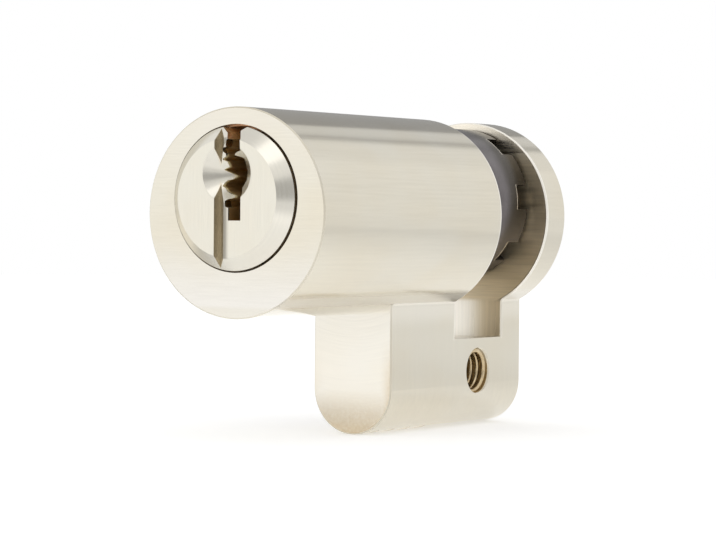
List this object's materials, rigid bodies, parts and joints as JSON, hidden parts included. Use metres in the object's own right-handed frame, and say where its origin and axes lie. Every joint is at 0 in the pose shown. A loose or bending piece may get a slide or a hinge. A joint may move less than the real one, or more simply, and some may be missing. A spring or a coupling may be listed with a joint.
{
  "type": "half cylinder lock",
  "caption": "Key cylinder for a door lock case: round barrel with a hanging web, a keyed plug at its front and a turning cam in a slot near its rear.",
  "frame": {"origin": "middle of the fixing screw hole in the web", "axes": "+X along the fixing screw hole, +Y along the lock from the key side to the rear, +Z from the web up to the barrel"},
  "size_m": [0.026, 0.0541, 0.0354],
  "materials": {
    "nickel_body": "satin nickel plate on brass",
    "nickel_plug": "satin nickel plate on brass, turned face",
    "cam_steel": "sintered steel, blackened",
    "hub_steel": "turned steel, passivated",
    "spring_steel": "bright spring steel",
    "pin_steel": "hardened steel, ground",
    "pin_brass": "turned brass"
  },
  "bodies": {
    "housing": {"housing": "nickel_body", "pin_stopper_1": "pin_brass", "pin_stopper_2": "pin_brass", "pin_stopper_3": "pin_brass", "pin_stopper_4": "pin_brass", "pin_spring_1": "spring_steel", "pin_spring_2": "spring_steel", "pin_spring_3": "spring_steel", "pin_spring_4": "spring_steel", "housing_guard_pin_1": "pin_steel", "housing_guard_pin_2": "pin_steel"},
    "plug": {"plug": "nickel_plug", "plug_guard_pin_left": "pin_steel", "plug_guard_pin_right": "pin_steel", "retaining_ring": "spring_steel", "cam_hub": "hub_steel", "cam_lock_spring": "spring_steel"},
    "cam": {"cam": "cam_steel"},
    "cam_lock_pin": {"cam_lock_pin": "pin_steel"},
    "key_pin_1": {"key_pin_1": "pin_brass"},
    "driver_pin_1": {"driver_pin_1": "pin_steel"},
    "key_pin_2": {"key_pin_2": "pin_brass"},
    "driver_pin_2": {"driver_pin_2": "pin_steel"},
    "key_pin_3": {"key_pin_3": "pin_brass"},
    "driver_pin_3": {"driver_pin_3": "pin_steel"},
    "key_pin_4": {"key_pin_4": "pin_brass"},
    "driver_pin_4": {"driver_pin_4": "pin_steel"}
  },
  "joints": [
    {"name": "plug_turn", "type": "hinge", "parent": "housing", "child": "plug", "pos_m": [0, -0.02, 0.01935], "axis": [0, 1, 0], "continuous": true},
    {"name": "cam_turn", "type": "hinge", "parent": "housing", "child": "cam", "pos_m": [0, 0, 0.01935], "axis": [0, 1, 0], "continuous": true},
    {"name": "cam_lock_pin_press", "type": "slide", "parent": "plug", "child": "cam_lock_pin", "axis": [0.9962, 0, 0.0872], "range_m": [-0.0018, 0], "stiffness_N_per_m": 150, "springref_m": 0.002, "deforming": ["cam_lock_spring"]},
    {"name": "key_pin_1_slide", "type": "slide", "parent": "plug", "child": "key_pin_1", "axis": [0, 0, 1], "range_m": [0, 0.00281]},
    {"name": "driver_pin_1_slide", "type": "slide", "parent": "housing", "child": "driver_pin_1", "axis": [0, 0, 1], "range_m": [-0.0025, 0], "stiffness_N_per_m": 100, "springref_m": 0.004, "deforming": ["pin_spring_1"]},
    {"name": "key_pin_2_slide", "type": "slide", "parent": "plug", "child": "key_pin_2", "axis": [0, 0, 1], "range_m": [0, 0.00211]},
    {"name": "driver_pin_2_slide", "type": "slide", "parent": "housing", "child": "driver_pin_2", "axis": [0, 0, 1], "range_m": [-0.0025, 0], "stiffness_N_per_m": 100, "springref_m": 0.004, "deforming": ["pin_spring_2"]},
    {"name": "key_pin_3_slide", "type": "slide", "parent": "plug", "child": "key_pin_3", "axis": [0, 0, 1], "range_m": [0, 0.00321]},
    {"name": "driver_pin_3_slide", "type": "slide", "parent": "housing", "child": "driver_pin_3", "axis": [0, 0, 1], "range_m": [-0.0025, 0], "stiffness_N_per_m": 100, "springref_m": 0.004, "deforming": ["pin_spring_3"]},
    {"name": "key_pin_4_slide", "type": "slide", "parent": "plug", "child": "key_pin_4", "axis": [0, 0, 1], "range_m": [0, 0.00181]},
    {"name": "driver_pin_4_slide", "type": "slide", "parent": "housing", "child": "driver_pin_4", "axis": [0, 0, 1], "range_m": [-0.0025, 0], "stiffness_N_per_m": 100, "springref_m": 0.004, "deforming": ["pin_spring_4"]}
  ],
  "couplings": [
    {"joint": "cam_turn", "follows": "plug_turn", "ratio": 1}
  ]
}
